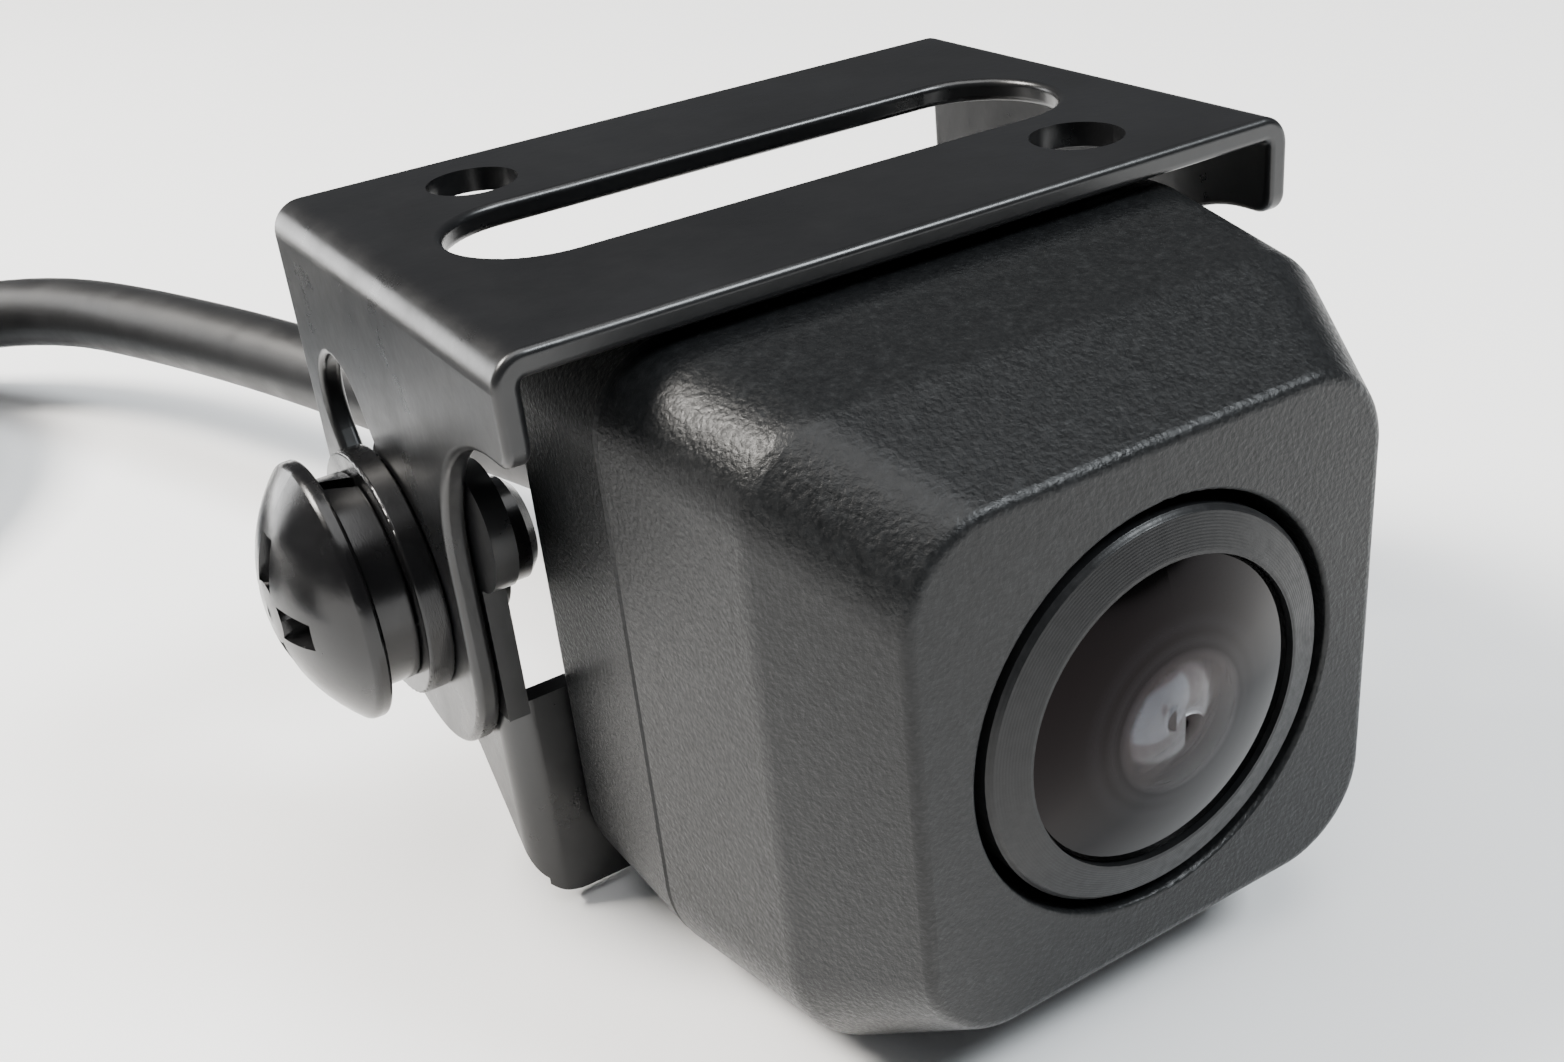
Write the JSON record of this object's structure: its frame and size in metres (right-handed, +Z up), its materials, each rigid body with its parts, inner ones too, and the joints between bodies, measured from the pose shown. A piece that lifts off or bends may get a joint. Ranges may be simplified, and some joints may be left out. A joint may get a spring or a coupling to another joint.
{
  "type": "backup camera",
  "caption": "Small square vehicle camera with a wide lens, tilting in a U-shaped sheet-metal bracket clamped by a screw at each side, with its cable and in-line connector.",
  "frame": {"origin": "on the surface that the housing stands on, under the middle of the object without its cable", "axes": "+Z up; the lens faces -Y; +X is to the right for someone facing the lens"},
  "size_m": [0.0953, 0.1083, 0.0247],
  "materials": {
    "housing": "finely grained black moulding",
    "seal": "soft black rubber",
    "screw": "black plated steel",
    "lens_ring": "satin black anodised",
    "lens_glass": "polished, thinly coated",
    "inner_glass": "polished, blue coated",
    "lens_barrel": "flat black baffle",
    "inner_plastic": "matt black",
    "filter_glass": "thin coated glass",
    "sensor": "dark package under glass",
    "board": "green solder mask",
    "brass_plate": "gold plated brass",
    "plug_plastic": "natural nylon",
    "wire": "coloured insulation",
    "bracket_paint": "semi-gloss black powder coat",
    "clamp_screw": "gloss black plated steel",
    "grommet": "black soft moulding",
    "cable_jacket": "smooth black jacket",
    "tie": "black hook strap",
    "connector_shell": "black moulding",
    "connector_insert": "dark insulator",
    "connector_seal": "orange silicone"
  },
  "bodies": {
    "camera": {"front_housing": "housing", "rear_housing": "housing", "housing_seal": "seal", "housing_screws": "screw", "bracket_screws": "screw", "lens_ring": "lens_ring", "front_lens": "lens_glass", "lens_barrel": "lens_barrel", "second_lens": "inner_glass", "lens_spacer": "lens_barrel", "rear_lens": "inner_glass", "lens_seal": "seal", "lens_holder": "inner_plastic", "infrared_filter": "filter_glass", "image_sensor": "sensor", "sensor_board": "board", "processor_board": "board", "board_spacers": "brass_plate", "board_screws": "screw", "board_connector": "inner_plastic", "processor_chip": "inner_plastic", "wire_plug": "plug_plastic", "inner_wires": "wire", "camera_bracket": "bracket_paint", "cable_gland": "grommet", "strain_relief": "grommet", "cable": "cable_jacket", "cable_coil": "cable_jacket", "cable_tail": "cable_jacket", "coil_tie": "tie", "connector_boot": "grommet", "connector_body": "connector_shell", "connector_insert": "connector_insert", "connector_contacts": "brass_plate", "connector_seal": "connector_seal"},
    "bracket": {"mounting_bracket": "bracket_paint"},
    "left_clamp": {"left_clamp_screw": "clamp_screw", "left_spring_washer": "clamp_screw", "left_flat_washer": "clamp_screw"},
    "right_clamp": {"right_clamp_screw": "clamp_screw", "right_spring_washer": "clamp_screw", "right_flat_washer": "clamp_screw"},
    "collar": {"connector_collar": "connector_shell"}
  },
  "joints": [
    {"name": "camera_tilt", "type": "hinge", "parent": "camera", "child": "bracket", "pos_m": [0, 0.0084, 0.013], "axis": [1, 0, 0], "range_deg": [-55, 1.5]},
    {"name": "left_screw_turn", "type": "hinge", "parent": "camera", "child": "left_clamp", "pos_m": [0, 0.0084, 0.013], "axis": [1, 0, 0], "continuous": true},
    {"name": "right_screw_turn", "type": "hinge", "parent": "camera", "child": "right_clamp", "pos_m": [0, 0.0084, 0.013], "axis": [1, 0, 0], "continuous": true},
    {"name": "collar_turn", "type": "hinge", "parent": "camera", "child": "collar", "pos_m": [-0.0695, 0.0265, 0.0062], "axis": [0, 1, 0], "continuous": true}
  ]
}
